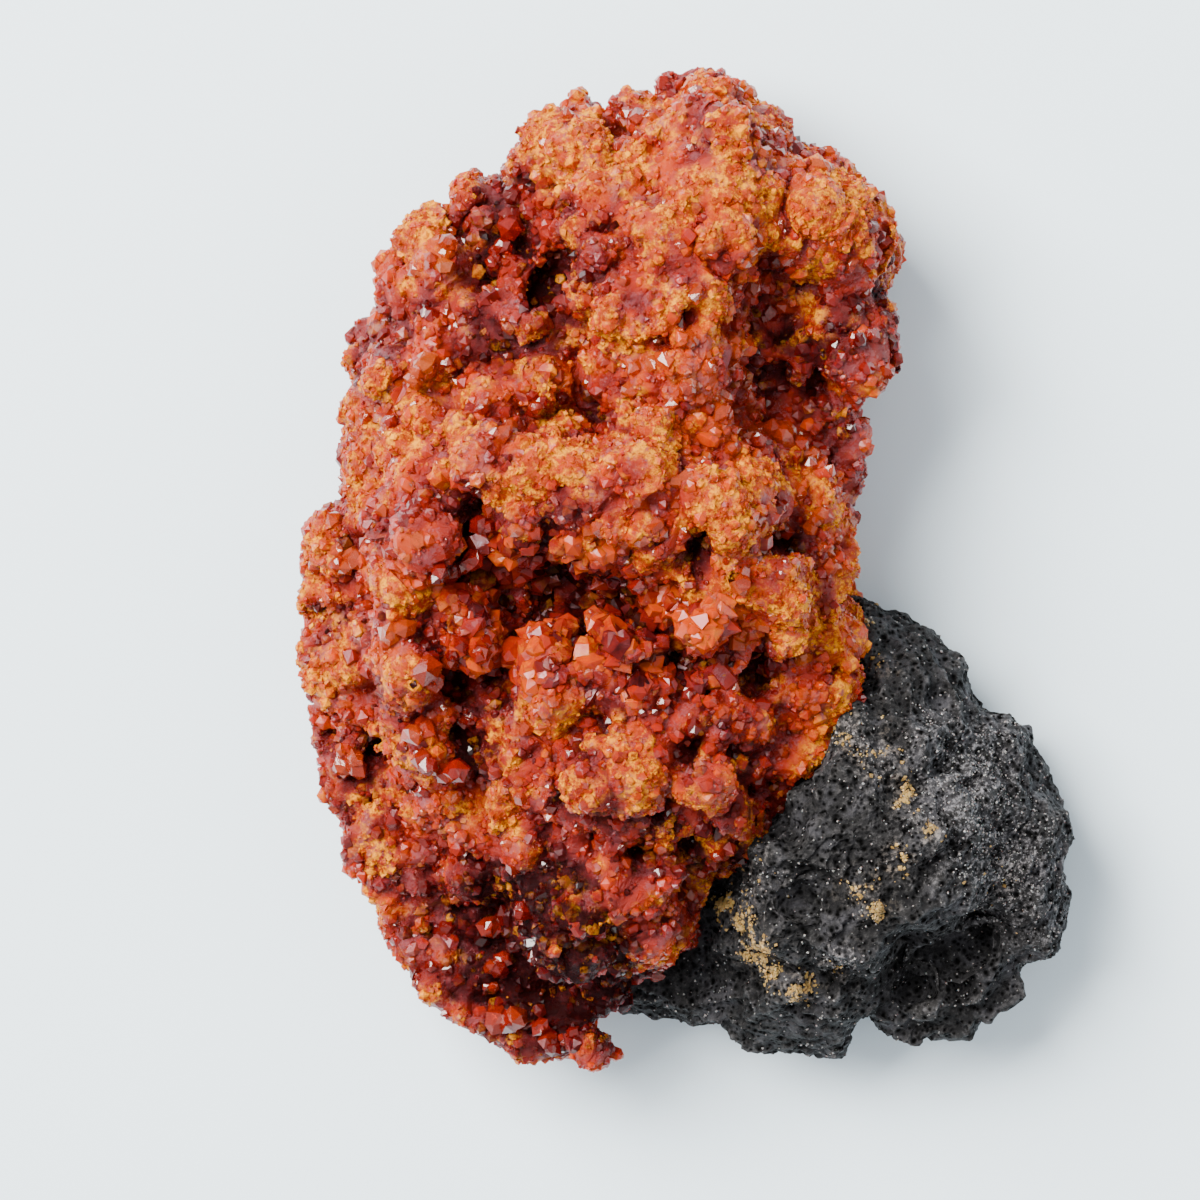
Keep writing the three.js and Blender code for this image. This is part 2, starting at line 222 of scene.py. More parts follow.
# The looks of the zincite. Each ramp is a list of stops: a place from 0 to 1, and the colour there.
BLACK = (0, 0, 0)
WHITE = (1, 1, 1)
ZINCITE_COLORS = (
    (0.0, (0.012, 0.001, 0.001)),
    (0.15, (0.055, 0.003, 0.003)),
    (0.3, (0.12, 0.006, 0.004)),
    (0.45, (0.19, 0.009, 0.003)),
    (0.6, (0.24, 0.01, 0.001)),
    (0.75, (0.34, 0.032, 0.0006)),
    (0.9, (0.42, 0.075, 0.001)),
    (1.0, (0.5, 0.13, 0.002)),
)
GLASSY_COLORS = (
    (0.0, (0.04, 0.003, 0.003)),
    (0.2, (0.16, 0.004, 0.003)),
    (0.4, (0.42, 0.012, 0.003)),
    (0.7, (0.68, 0.08, 0.004)),
    (1.0, (0.8, 0.22, 0.02)),
)
FROST_COLORS = (
    (0.45, (0.2, 0.018, 0.001)),
    (0.5, (0.4, 0.11, 0.002)),
    (0.56, (0.66, 0.25, 0.003)),
)
FROST_GRAINS = ((0.44, BLACK), (0.52, WHITE))
SHEEN_PATCHES = ((0.52, BLACK), (0.58, (0.9, 0.9, 0.9)))
# Painted sheen: a darker red with a lilac tint that stands in for the sheen's reflection
PAINTED_SHEEN_LILAC = (0.13, 0.008, 0.014)
MOTTLE = 0.5  # how far the tone varies within a crystal
FROST_COVER = 0.95  # how much of the gloss and the glow full frost takes away
LIT_GAIN = 2.5  # how fast the gloss grows with the tone
# How much of the painted sheen colour covers the sheen patches
PAINTED_SHEEN_COVER = 0.6
SHEEN_ROUGHNESS = 0.25
SHEEN_LEVEL = 0.5
GLASSY_LEVEL = 0.22
FROST_LEVEL = 0.05
SPECULAR_TINT = (1.0, 0.84, 0.94)
GLOW_RADIUS = (1.0, 0.2, 0.05)
GLOW_DEPTH = 0.6 * MM

# The looks of the rock
ROCK_COLORS = (
    (0.3, (0.004, 0.004, 0.005)),
    (0.5, (0.012, 0.012, 0.013)),
    (0.75, (0.062, 0.062, 0.072)),
)
ROCK_DULLNESS = ((0.35, (0.3, 0.3, 0.3)), (0.65, (0.8, 0.8, 0.8)))
ROCK_GLINTS = ((0.5, (0.08, 0.08, 0.08)), (0.7, (0.8, 0.8, 0.8)))
RIDGE_COLOR = (0.07, 0.068, 0.068)
DUST_COLOR = (0.21, 0.205, 0.225)
STAIN_COLOR = (0.24, 0.15, 0.05)
ROCK_SPECKS = ((0.5, BLACK), (0.62, WHITE))
# Painted shade in the small pits of the rock
PIT_SHADE_COLOR = (0.002, 0.002, 0.002)
PIT_STEPS = (0.75, 0.4)  # mm between the pits, wide ones and narrow ones
PIT_EDGE = ((0.12, BLACK), (0.42, WHITE))
PIT_HEIGHT = 0.4  # share of the bumps' height
FINE_HEIGHT = 0.6
TAN_CRUMB_COLOR = (0.34, 0.21, 0.06)
PALE_CRUMB_COLOR = (0.24, 0.235, 0.24)
DARK_CRUMB = 0.45  # times the crumb's colour, for the darkest

# Columns of the tables below
PUSH = 3
# Lighter or darker, partly painted shade
TONE_AND_SHADE = 3
FROST = 4
DUST = 3
STAIN = 4

# Forms and looks that the photograph shows, placed as its camera sees them: mm to the right of the
# picture's middle, mm above it, and reach in mm. After these, lumps and dents give mm outwards.
ZINCITE_FORMS = (
    (7.6, 33.5, 1.6, 0.8),
    (10.4, 34.4, 1.5, -2.2),
    (4.2, 34.6, 1.5, -2),
    (-0.6, 32.9, 1.5, 1.5),
    (1.1, 31.9, 1.1, -1.8),
    (-3.1, 30.6, 1.7, 1.6),
    (-5.2, 28.5, 1.3, 1.5),
    (-7.9, 26.5, 1.5, 1.5),
    (-3.8, 21.1, 1.6, -2.1),
    (-2.9, 22.5, 1.1, -1.2),
    (-6.5, 24.5, 1.5, -0.8),
    (-10.7, 23.2, 1.9, 1.7),
    (-10.1, 20.4, 1.5, 0.8),
    (-7.6, 21.6, 1.2, -1.4),
    (-13.3, 21, 0.9, 0.6),
    (-11.5, 14.9, 1.7, 1.3),
    (-9.7, 13.3, 1.1, -2),
    (-13.3, 17.9, 1.3, -0.9),
    (-3.7, 15.2, 1.7, 1.2),
    (-6, 14.3, 1.6, 1),
    (-8.7, 13.1, 1.3, 0.8),
    (-1.9, 12.5, 1.9, 0.8),
    (0.1, 11.5, 1.2, -0.6),
    (6, 18.8, 0.7, -2.2),
    (8.9, 18.1, 0.9, -1.7),
    (10.9, 22.1, 1.6, -1.1),
    (11.2, 18.7, 1.6, -1),
    (11, 15.3, 1.6, -1.2),
    (12.7, 13.2, 1.6, -1),
    (11.7, 11.2, 1.6, -0.8),
    (13.5, 20, 1.3, -1),
    (15, 25.2, 2.3, 1.4),
    (18.7, 23.9, 1.6, 0.8),
    (17, 16.7, 2.3, 1.7),
    (14.8, 14.4, 1.1, -1.7),
    (6, 13.5, 2.3, 0.9),
    (9.5, 12.1, 1, -1.8),
    (2.7, 16, 1.5, -0.8),
    (1.5, 23.3, 1.7, -0.7),
    (0, 28, 2, 0.6),
    (4, 24.7, 2.4, 0.7),
    (9.3, 26.7, 3.1, 0.7),
    (6.7, 20.7, 1.9, 0.5),
    (-13.3, 9.7, 1.7, 0.6),
    (-8.7, 9.2, 1.7, 0.7),
    (-5.3, 8.6, 1.2, 0.4),
    (-2.7, 9.4, 1.7, 0.8),
    (0.7, 8.4, 1.5, 0.5),
    (3.3, 8.9, 1.8, 0.8),
    (6.3, 7.4, 1.3, 0.5),
    (9.3, 8.2, 1.9, 0.8),
    (13.3, 8, 1.9, 0.8),
    (14.6, 5.9, 1.5, 0.8),
    (12.3, 3.9, 1, -1.5),
    (-5.3, 5.6, 1.7, -0.5),
    (1.8, 5.2, 1.3, -0.4),
    (-8.7, 5.3, 1.5, -1.6),
    (-11.3, 4.2, 1.9, 1.5),
    (-9, 2.5, 1.3, -1.4),
    (-6.5, 1.2, 1.9, -0.7),
    (-2.7, 0.5, 1.9, -0.9),
    (0.7, -0.1, 1.6, -0.9),
    (2.8, -0.9, 1.2, -1),
    (4.3, 0.1, 1.1, -1.2),
    (-0.6, 4.2, 1.3, 1),
    (3.7, 4, 1.5, 0.8),
    (6.7, 4.2, 1.1, -1.2),
    (8.1, 4.9, 1.5, 1.1),
    (9.3, 1.7, 1.6, 1.2),
    (6.7, 2.5, 1.2, -0.8),
    (6.5, -1.7, 1.3, 2.1),
    (6, 0.5, 0.9, -1.2),
    (-8.3, -3.1, 1.6, 1.5),
    (-3, -3.5, 1.5, 1.5),
    (-5.9, -1.8, 1.2, -1.5),
    (1.7, -2.8, 1.2, 1.9),
    (4, -3.5, 1.1, -1.6),
    (9.9, -2.8, 1.2, -2),
    (11, -5.5, 1.7, -1.7),
    (13.3, -1.3, 1.6, 0.9),
    (15.1, -2.8, 1.6, 0.9),
    (15, -6.1, 1.6, 0.9),
    (12.7, -8.5, 1.2, -1.2),
    (6.9, -5.1, 1.5, -1.1),
    (-17.3, 3.7, 1.9, 0.9),
    (-19.3, -1.1, 0.9, -1.6),
    (-17.9, -4.1, 2.1, 1.3),
    (-15.6, -0.1, 1.1, -1.6),
    (-15.2, -6, 1, -1.5),
    (-14.7, -10, 1, -2),
    (-13.3, 0.7, 1.5, 1.1),
    (-13.1, -2.1, 1.5, 0.9),
    (-12.1, -5.3, 1.6, 1.2),
    (-12.1, -9.3, 1.6, 1.2),
    (-16.7, -10.8, 1.5, 0.4),
    (-18.3, -8.5, 0.9, -1.6),
    (-9.8, -6, 1.5, -2),
    (-9, -9.3, 1.6, -1.5),
    (-8, -12.7, 1.2, -1.8),
    (-5.3, -8.1, 1.6, 0.9),
    (-2.7, -6, 1.6, 1.3),
    (0, -4.7, 1.6, 1.2),
    (-0.1, -8.2, 0.7, -1.7),
    (3.3, -6, 1.5, 0.8),
    (-6.7, -12.7, 1.5, 1.3),
    (-5.3, -15.3, 1.5, 1),
    (-2.7, -11.3, 1.9, 0.8),
    (2.7, -10.7, 2.1, 1.1),
    (6, -10.5, 1.2, -2),
    (9.3, -10, 1.5, -0.7),
    (13, -9.9, 1.7, 1.3),
    (11, -13.3, 1.2, -2.1),
    (14.4, -13.5, 1.2, -1),
    (8.6, -14.3, 1.6, 0.9),
    (6, -16.7, 1.1, -2),
    (2.7, -17.5, 1.1, -2),
    (-0.7, -16.7, 0.9, -1.3),
    (-5, -18, 1.3, 0.9),
    (-0.9, -20.3, 1.9, 1.5),
    (-2.3, -23.2, 1.3, 1.3),
    (1.7, -19.3, 1.6, 1.2),
    (3.3, -22, 1.5, 1),
    (6.7, -19.3, 1.5, -1.6),
    (-6.7, -20, 1.6, -0.8),
    (-6.7, -24, 1.5, 0.5),
    (-5.3, -28.3, 1.6, 0.9),
    (-2.5, -25.7, 1.2, -1.2),
)
ROCK_FORMS = (
    (17.1, -8.5, 1.7, 0.7),
    (21.9, -15.7, 1.6, 1),
    (20, -17.5, 1.3, 0.7),
    (18.1, -20.5, 1.3, 0.7),
    (24, -13.3, 3.3, 0.5),
    (14.7, -20, 2.4, -0.8),
    (21.2, -24.5, 1.6, -2.4),
    (25.9, -22.5, 1.3, -2.2),
    (24, -26, 0.9, -1.6),
    (12.7, -25.7, 1.6, 0.8),
    (9.3, -21.3, 1.6, 0.6),
    (6.8, -22, 1.2, -1.4),
    (18.7, -4, 1.6, 0.4),
    (22.7, -6.7, 1.5, -0.6),
    (29.3, -20, 1.6, 0.5),
    (17.3, -27.3, 1.3, 0.6),
    (22, -27.3, 1.2, 0.6),
    (27.3, -26, 1.2, -0.9),
)
# After the place and the reach: lighter or darker, and more or less frosted. Some darker spots are painted
# shade: the shadow under the lobe and the cube at the bottom, and the shade in the vug and the dark hole
ZINCITE_SPOTS = (
    (2.7, 30, 3.7, 0.15, 0.6),
    (6.7, 25.3, 4.3, 0.15, 0.6),
    (13.3, 26.7, 3.7, 0.1, 0.6),
    (0, 28.3, 2.4, 0.15, 0.5),
    (8, 34, 2.4, 0, 0.1),
    (6.7, 31.3, 1.6, -0.12, 0),
    (-2.7, 30, 1.7, 0.15, 0.4),
    (-5.3, 28, 1.7, -0.2, -0.2),
    (-8, 25.7, 2.4, -0.22, -0.2),
    (-6.3, 24.3, 1.6, -0.25, -0.2),
    # Painted shade in the dark hole
    (-3.7, 21.3, 2.6, -0.25, -0.4),
    (-10.7, 23, 2.1, 0.2, 0.3),
    (-11.3, 20, 2.1, 0.05, 0),
    (-14, 18.7, 2.5, -0.15, -0.4),
    (-8.5, 17.5, 2.6, -0.1, -0.4),
    (-6, 20, 2.6, -0.08, -0.3),
    (0, 24, 2.5, -0.05, -0.3),
    (9, 22.5, 2, -0.1, -0.4),
    (9, 16, 2, -0.06, -0.5),
    (6, 15.5, 3.2, 0.18, -0.5),
    (-11.7, 15, 1.9, 0.2, 0.4),
    (-15.7, 11.3, 2.4, 0.12, 0.6),
    (-15, 8, 1.9, 0.1, 0.5),
    (-9.9, 13.3, 1.2, -0.1, 0),
    (-4.7, 17.3, 2.5, -0.05, 0),
    (-3.7, 15, 1.5, 0.1, 0.4),
    (-1.9, 12.5, 2, -0.05, -0.3),
    (2, 20.7, 3, 0.05, 0.3),
    (2, 16.7, 2.4, 0.05, 0.4),
    (6, 18.8, 0.8, -0.15, 0),
    (6, 14, 3, 0.12, 0),
    (6, 16.7, 1.7, 0.2, 0),
    (13.3, 20.7, 2.8, 0, 0.3),
    (10.7, 20, 1.2, -0.05, 0),
    (12.7, 17.3, 2.4, -0.12, 0),
    (17, 16.7, 2.6, -0.2, -0.3),
    (19.3, 23.3, 1.9, 0.05, 0.3),
    (12.7, 11.3, 2.4, -0.05, -0.2),
    (11.3, 14.7, 1.7, -0.12, 0),
    (15.7, 10.7, 2.1, -0.15, -0.3),
    (-11.3, 10, 3, 0.12, 0.4),
    (-2.7, 9.7, 3, 0.12, 0.6),
    (4, 8, 3, 0.12, 0.7),
    (10.7, 8, 3, 0.12, 0.5),
    (14.7, 6, 2.4, 0.1, 0.3),
    (-4, 7.3, 1.9, 0.05, 0.5),
    (-8, 6.7, 1.9, -0.1, 0.1),
    (-2.7, 5.3, 2.4, -0.16, -0.3),
    (-11.3, 4.2, 2.4, -0.1, -1.2),
    # Painted shade in the vug under the ledge, along with the crystals' own deeper red
    (-9, 2.7, 1.7, -0.2, -0.3),
    (-5.3, 1.3, 2.4, -0.12, -0.3),
    (-0.7, 0, 2.4, -0.12, -0.3),
    (2.7, -0.7, 1.9, -0.12, -0.2),
    (-0.6, 4.2, 1.3, 0.3, 0.8),
    (3.7, 4, 1.5, -0.1, 0.2),
    (6.7, 4.3, 1.3, -0.25, 0),
    (8.1, 5, 1.3, 0.35, 0.9),
    (9.7, 1.7, 1.5, 0.3, 0.8),
    (12.3, 3.9, 1.1, -0.3, 0),
    (6.5, -1.7, 1.3, 0.15, 0),
    (10.7, -4, 1.9, -0.15, -0.1),
    (14.7, 0, 2.4, 0.12, 0.5),
    (15.3, -4.7, 2.1, 0.08, 0.4),
    (16.7, 1.3, 1.2, 0.1, 0.8),
    (-8.3, -3, 1.9, -0.1, 0.1),
    (-3, -3.3, 1.6, -0.08, 0.1),
    (1.7, -2.7, 1.3, 0.15, 0.1),
    (6.9, -5.1, 2.1, -0.15, -0.1),
    (-18, 2.7, 2.1, 0.12, 0.5),
    (-17.9, -4.7, 2.1, 0.08, 0.6),
    (-16.7, -10.7, 1.9, -0.15, -0.2),
    (-13.3, 0.7, 1.5, 0.2, 0.6),
    (-14.3, 2.7, 1.5, 0.1, 0.3),
    (-12.1, -6.7, 2.1, -0.02, 0),
    (-13.7, -9.3, 1.2, 0.05, 0.5),
    (-9.7, -6, 1.9, -0.25, -0.1),
    (-9, -10, 1.9, -0.25, -0.1),
    (-3.7, -7.3, 1.5, 0.25, 0.7),
    (-5.3, -11.3, 1.9, 0.15, 0.5),
    (-7.3, -13.3, 1.5, 0.2, 0.6),
    (2.7, -10.7, 2.1, 0.2, 0.1),
    (3.3, -14.7, 3, -0.12, 0),
    (6, -10.5, 1.3, -0.12, 0),
    (9.3, -9.3, 1.9, -0.15, 0),
    (13.3, -9.7, 1.9, 0.1, 0.3),
    (11, -13.3, 1.5, -0.12, -0.2),
    (13.3, -12.7, 1.9, -0.2, 0),
    (5.3, -16.7, 1.9, -0.3, 0),
    (-0.7, -20, 2.4, -0.16, 0.1),
    (-2, -23, 1.5, 0.08, 0.3),
    # Painted shadow under the lobe and the cube
    (-6.7, -20, 2.6, -0.45, -0.6),
    (-5.3, -24, 2.6, -0.5, -0.6),
    (-5.3, -28.3, 2.4, -0.2, -0.4),
    (1.5, -27.5, 2.2, -0.4, -0.5),
    (-7.3, -22.7, 1, 0.1, -0.2),
    (-2.7, -26.7, 2.2, -0.5, -0.5),
    (0.7, -25.3, 2.2, -0.5, -0.5),
    (-2.7, -15.3, 2.6, -0.08, 0.1),
    (9.3, -17.3, 2.4, -0.2, 0),
    (19.3, 20, 2.4, -0.15, 0),
    (3.3, -22, 2.2, -0.12, 0.1),
    (-2, -9, 8, -0.04, -0.15),
    (-3, 1.5, 5, -0.04, -0.4),
    (-8, 1.5, 2.6, -0.06, -0.3),
    (0.5, -2, 3.5, -0.14, -0.2),
    (6, 16, 3, 0.08, 0),
    # Painted shadow under the lobe and the cube
    (-4, -21.5, 3.5, -0.25, -0.4),
    (2, -22, 3, -0.1, -0.1),
    (-5, -25, 4, -0.25, -0.5),
    (0, -26.5, 2.5, -0.2, -0.5),
    (-3, -19, 2.5, -0.12, -0.2),
    (-9, 20, 5, -0.04, -0.2),
    (14, 13, 5, -0.06, -0.25),
)
# The crystals that stand out, placed the same way: right, up, width in mm, and how light
NAMED_CRYSTALS = (
    (-11.3, 4.3, 4, 0.42),
    (-10.7, 1.9, 1.7, 0.3),
    (-9.2, 2.3, 1.9, 0.3),
    (-6.3, 25, 2.4, 0.35),
    (-5.2, 26.3, 2, 0.33),
    (-6.7, 23.2, 1.7, 0.35),
    (-11.3, -5.3, 2.7, 0.42),
    (-11.3, -10.7, 2.4, 0.45),
    (-12.1, -9, 1.9, 0.45),
    (-10, -3.7, 1.9, 0.42),
    (-9.8, -6, 1.6, 0.36),
    (-9, -8.1, 1.7, 0.36),
    (-16.3, -11, 2.3, 0.55),
    (-4, 13, 1.5, 0.3),
    (-2.7, 13.7, 1.3, 0.3),
    (6.7, -5.1, 1.5, 0.42),
    (5.9, -6.1, 1.3, 0.38),
    (8.1, -4.1, 1.3, 0.4),
    (6.5, -1.7, 2.2, 0.6),
    (1.8, -3, 2.4, 0.62),
    (-3, -3.7, 2.3, 0.45),
    (-8.3, -3, 2.5, 0.45),
    (12.3, 11.3, 2.3, 0.58),
    (13.5, 10, 2.1, 0.52),
    (11.3, 10.5, 1.7, 0.5),
    (17, 17, 1.6, 0.3),
    (-7, -21.3, 2.1, 0.32),
    (-5.3, -20.3, 1.7, 0.28),
    (-6.5, -23.9, 1.7, 0.3),
    (-4.5, -24, 1.5, 0.26),
    (-7.2, -26, 1.5, 0.48),
    (-5.3, -28.3, 2.5, 0.36),
    (-6.9, -27.9, 2.3, 0.36),
    (-3.7, -29, 2.1, 0.3),
    (-7.7, 5.3, 1.9, 0.35),
    (-13, -2, 2.4, 0.5),
    (-17, 2.7, 2.2, 0.66),
    (-10.7, 23, 2.4, 0.72),
    (-11.7, 14.8, 2.2, 0.74),
    (9.3, 1.5, 1.8, 0.6),
    (14.7, 5.7, 2, 0.62),
    (6, 13.7, 2, 0.66),
    (8, 12.7, 1.8, 0.64),
    (0, -0.3, 1.5, 0.25),
    (-2.7, 0, 1.6, 0.22),
    (-5.3, 0.7, 1.5, 0.24),
    (3, 1, 1.5, 0.3),
    (-8, 0, 1.6, 0.25),
)
# After the place and the reach: how much grey-white dust, and how much tan crust
ROCK_SPOTS = (
    (16.3, -8.7, 1.5, 0.7, 0.5),
    (18.7, -10.7, 1.7, 0.5, 0.3),
    (24, -12.7, 3.6, 0.8, 0),
    (28, -18, 4.5, 0.7, 0),
    (26, -9.5, 2.5, 0.5, 0),
    (22, -8, 1.2, 0.5, 0),
    (20.3, -13.3, 0.9, 0.2, 0.9),
    (22, -15.7, 0.7, 0.2, 1),
    (20, -17.3, 0.9, 0.5, 0.6),
    (18.7, -20.7, 0.7, 0.2, 1),
    (17.3, -19.3, 1.2, 0.4, 0.4),
    (16, -24, 1.1, 0.9, 0.2),
    (13.3, -25.7, 0.9, 0.4, 0.9),
    (11.7, -25, 0.7, 0.2, 0.9),
    (10.3, -23.3, 0.9, 0.2, 0.8),
    (9.3, -21.7, 0.9, 0.2, 0.7),
    (8.3, -20.3, 0.7, 0.2, 0.8),
    (19, -4.3, 0.7, 0.2, 0.8),
    (18, -1.3, 0.7, 0.1, 0.4),
    (26.7, -18.7, 2.4, 0.3, 0.1),
    (30.7, -22, 1.2, 0.4, 0),
    (10, -18.7, 2.4, 0.3, 0.1),
)


def camera_axes():
    """The camera's directions: right, up and back towards it."""
    back = TOWARDS_CAMERA
    right = Vector((0, 1, 0)).cross(back).normalized()
    return right, back.cross(right), back


def smoothstep(low, high, values):
    """0 below low, 1 above high, and smooth between."""
    t = np.clip((values - low) / (high - low), 0, 1)
    return t * t * (3 - 2 * t)


def seen_at(points):
    """Where the photograph's camera sees each point: mm right of and above the picture's middle."""
    right, up, back = (np.array(axis) for axis in camera_axes())
    away = points - np.array(VIEW_MIDDLE)
    larger = VIEW_DISTANCE / (VIEW_DISTANCE - away @ back) / MM
    return np.stack([away @ right * larger, away @ up * larger], axis=1)


def spot_field(points, spots, column):
    """The sum of one column of the spots, each fading with distance as the camera sees it."""
    seen = seen_at(points)
    field = np.zeros(len(points))
    for spot in spots:
        right, up, reach = spot[:3]
        away = np.hypot(seen[:, 0] - right, seen[:, 1] - up)
        field += spot[column] * np.exp(-((away / reach) ** 2))
    return field


def facing(normals):
    """1 where a surface faces the camera, 0 where it faces away, and between at the sides."""
    return smoothstep(FACING_FROM, FACING_TO, normals @ np.array(TOWARDS_CAMERA))


def height_share(points, heights):
    """0 below the first of two heights over the floor, in mm, 1 above the second, and between."""
    return smoothstep(*heights, points[:, 2] / MM)


def noise_at(points, step):
    """Smooth noise from -1 to 1 at each point, its waves step mm long."""
    scale = 1 / (step * MM)
    return np.array([noise.noise(Vector(point) * scale) for point in points])


def noises_at(points, waves):
    """The sum of noises, each given as the step between its waves in mm and how much it counts."""
    return sum(share * noise_at(points, step) for step, share in waves)


def domes(points, step, seed):
    """Round knobs, step mm apart: 1 on top of each and 0 in the creases between."""
    scale = 1 / (step * MM)
    shift = Vector([seed * part for part in SEED_SHIFT])
    nearest = np.array([noise.voronoi(Vector(point) * scale + shift)[0][0] for point in points])
    return np.sqrt(np.clip(1 - (nearest / DOME_RADIUS) ** 2, 0, 1))


def remeshed(name, node, voxel):
    """One closed mesh of even faces around a CAD node."""
    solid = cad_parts[node].data
    plain = bpy.data.meshes.new(name)
    plain.from_pydata([v.co for v in solid.vertices], [], [list(face.vertices) for face in solid.polygons])
    holder = bpy.data.objects.new(name, plain)
    bpy.context.scene.collection.objects.link(holder)
    remesh = holder.modifiers.new("remesh", "REMESH")
    remesh.mode = "VOXEL"
    remesh.voxel_size = voxel
    remade = holder.evaluated_get(bpy.context.evaluated_depsgraph_get())
    done = bpy.data.meshes.new_from_object(remade)
    bpy.data.objects.remove(holder)
    return done


def points_of(mesh):
    """A mesh's points, one row each."""
    points = np.empty(len(mesh.vertices) * 3)
    mesh.vertices.foreach_get("co", points)
    return points.reshape(-1, 3)


def normals_of(mesh):
    """The normals at a mesh's points."""
    normals = np.empty(len(mesh.vertices) * 3)
    mesh.vertex_normals.foreach_get("vector", normals)
    return normals.reshape(-1, 3)


def box_corners():
    """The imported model's box, drawn in by the margin on every side but the floor's."""
    low = np.array([*cad_box[0][:2], 0]) + BOX_MARGIN * np.array([1, 1, 0])
    return low, np.array(cad_box[1]) - BOX_MARGIN


def room_along(points, directions):
    """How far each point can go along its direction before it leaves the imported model's box."""
    low, high = box_corners()
    far = np.where(directions > 0, high - points, low - points)
    reach = far / np.where(np.abs(directions) < LEAST_DIRECTION, LEAST_DIRECTION, directions)
    return np.clip(reach, 0, None).min(axis=1)


def pushed(points, normals, push):
    """The points moved along their normals by push, in mm, but never out of the box."""
    room = room_along(points, normals)
    push = push - TIP_ROOM * (1 - smoothstep(0, TIP_FADE, room / MM))
    return points + normals * np.minimum(push * MM, ROOM_SHARE * room)[:, None]


def in_box(points):
    """The points moved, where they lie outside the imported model's box, to its faces."""
    return np.clip(points, *box_corners())


def set_points(mesh, points):
    """Moves a mesh's points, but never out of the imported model's box."""
    mesh.vertices.foreach_set("co", in_box(points).ravel())
    mesh.update()


def add_attribute(mesh, name, values):
    """Stores a value for each point, which the materials read by its name."""
    mesh.attributes.new(name, "FLOAT", "POINT").data.foreach_set("value", values.astype(np.float32))


def smoothed(mesh, values, rounds):
    """Values at the points, each replaced by its neighbours' mean, for a number of rounds."""
    ends = np.empty(len(mesh.edges) * 2, np.int32)
    mesh.edges.foreach_get("vertices", ends)
    a, b = ends.reshape(-1, 2).T
    count = np.bincount(a, minlength=len(values)) + np.bincount(b, minlength=len(values))
    for _ in range(rounds):
        total = np.bincount(a, values[b], len(values)) + np.bincount(b, values[a], len(values))
        values = total / count
    return values


def smoothed_points(mesh, points, rounds):
    """The points, each moved to its neighbours' mean, for a number of rounds."""
    return np.stack([smoothed(mesh, points[:, axis], rounds) for axis in range(3)], axis=1)


def soften(mesh, rounds):
    """Rounds off a mesh's edges, apart from where it rests."""
    points = points_of(mesh)
    share = height_share(points, SOFTENED_HEIGHTS)[:, None]
    set_points(mesh, points + (smoothed_points(mesh, points, rounds) - points) * share)


def relief_of(mesh, points, normals, rounds):
    """How far each point stands above or below the smoothed surface round it, in mm."""
    even = smoothed_points(mesh, points, rounds)
    return np.einsum("ij,ij->i", points - even, normals) / MM


def piece(name, mesh, material, replaced=()):
    """A finished object that rides on the specimen's one body."""
    mesh.materials.clear()
    mesh.materials.append(material)
    result = bpy.data.objects.new(name, mesh)
    bpy.context.scene.collection.objects.link(result)
    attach(result, "root")
    if replaced:
        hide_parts(*replaced)
    return result


def hexagon(radius, height):
    """Six corners round the vertical axis."""
    turns = [math.tau * i / 6 for i in range(6)]
    return [(radius * math.cos(turn), radius * math.sin(turn), height) for turn in turns]


def prism_crystal():
    """A six-sided crystal one wide: a stub of a prism under a pointed end."""
    points = hexagon(0.5, -0.5) + hexagon(0.5, 0.3) + [(0.05, 0, 0.72)]
    faces = []
    for i in range(6):
        j = (i + 1) % 6
        faces += [(i, j, 6 + j), (i, 6 + j, 6 + i), (6 + i, 6 + j, 12)]
    faces += [(0, i + 1, i) for i in range(1, 5)]
    return np.array(points), np.array(faces)


def blunt_crystal():
    """A six-sided crystal one wide whose point is cut off flat."""
    points = hexagon(0.5, -0.4) + hexagon(0.5, 0.25) + hexagon(0.24, 0.5)
    faces = []
    for i in range(6):
        j = (i + 1) % 6
        faces += [(i, j, 6 + j), (i, 6 + j, 6 + i)]
        faces += [(6 + i, 6 + j, 12 + j), (6 + i, 12 + j, 12 + i)]
    faces += [(0, i + 1, i) for i in range(1, 5)]
    faces += [(12, 12 + i, 13 + i) for i in range(1, 5)]
    return np.array(points), np.array(faces)


def nodule():
    """A rounded crystal one wide, with twenty uneven faces."""
    long, short = 0.425, 0.263  # half the sides of three crossed rectangles, whose corners are the points
    longest_edge = 2.2 * short  # an edge is twice as long as short, and no other distance is near that
    points = []
    for a in (-short, short):
        for b in (-long, long):
            points += [(0, a, b), (a, b, 0), (b, 0, a)]
    points = np.array(points)
    faces = []
    for i, j, k in combinations(range(len(points)), 3):
        a, b, c = points[[i, j, k]]
        if max(np.linalg.norm(side) for side in (b - a, c - b, a - c)) < longest_edge:
            outward = np.dot(np.cross(b - a, c - a), a) > 0
            faces.append((i, j, k) if outward else (i, k, j))
    return points, np.array(faces)


def block():
    """A stubby box one wide."""
    points = [(x, y, z) for z in (-0.4, 0.4) for y in (-0.42, 0.42) for x in (-0.48, 0.48)]
    quads = [(0, 2, 3, 1), (4, 5, 7, 6), (0, 1, 5, 4), (2, 6, 7, 3), (0, 4, 6, 2), (1, 3, 7, 5)]
    faces = [half for a, b, c, d in quads for half in ((a, b, c), (a, c, d))]
    return np.array(points), np.array(faces)


def grain():
    """A chunky grain one wide, with eight uneven faces."""
    points = [(0.5, 0.06, 0), (0.03, 0.46, 0.08), (-0.48, 0, -0.05), (-0.05, -0.5, 0.04)]
    points += [(0.08, 0, 0.52), (0, 0.05, -0.4)]
    faces = [(0, 1, 4), (1, 2, 4), (2, 3, 4), (3, 0, 4), (1, 0, 5), (2, 1, 5), (3, 2, 5), (0, 3, 5)]
    return np.array(points), np.array(faces)


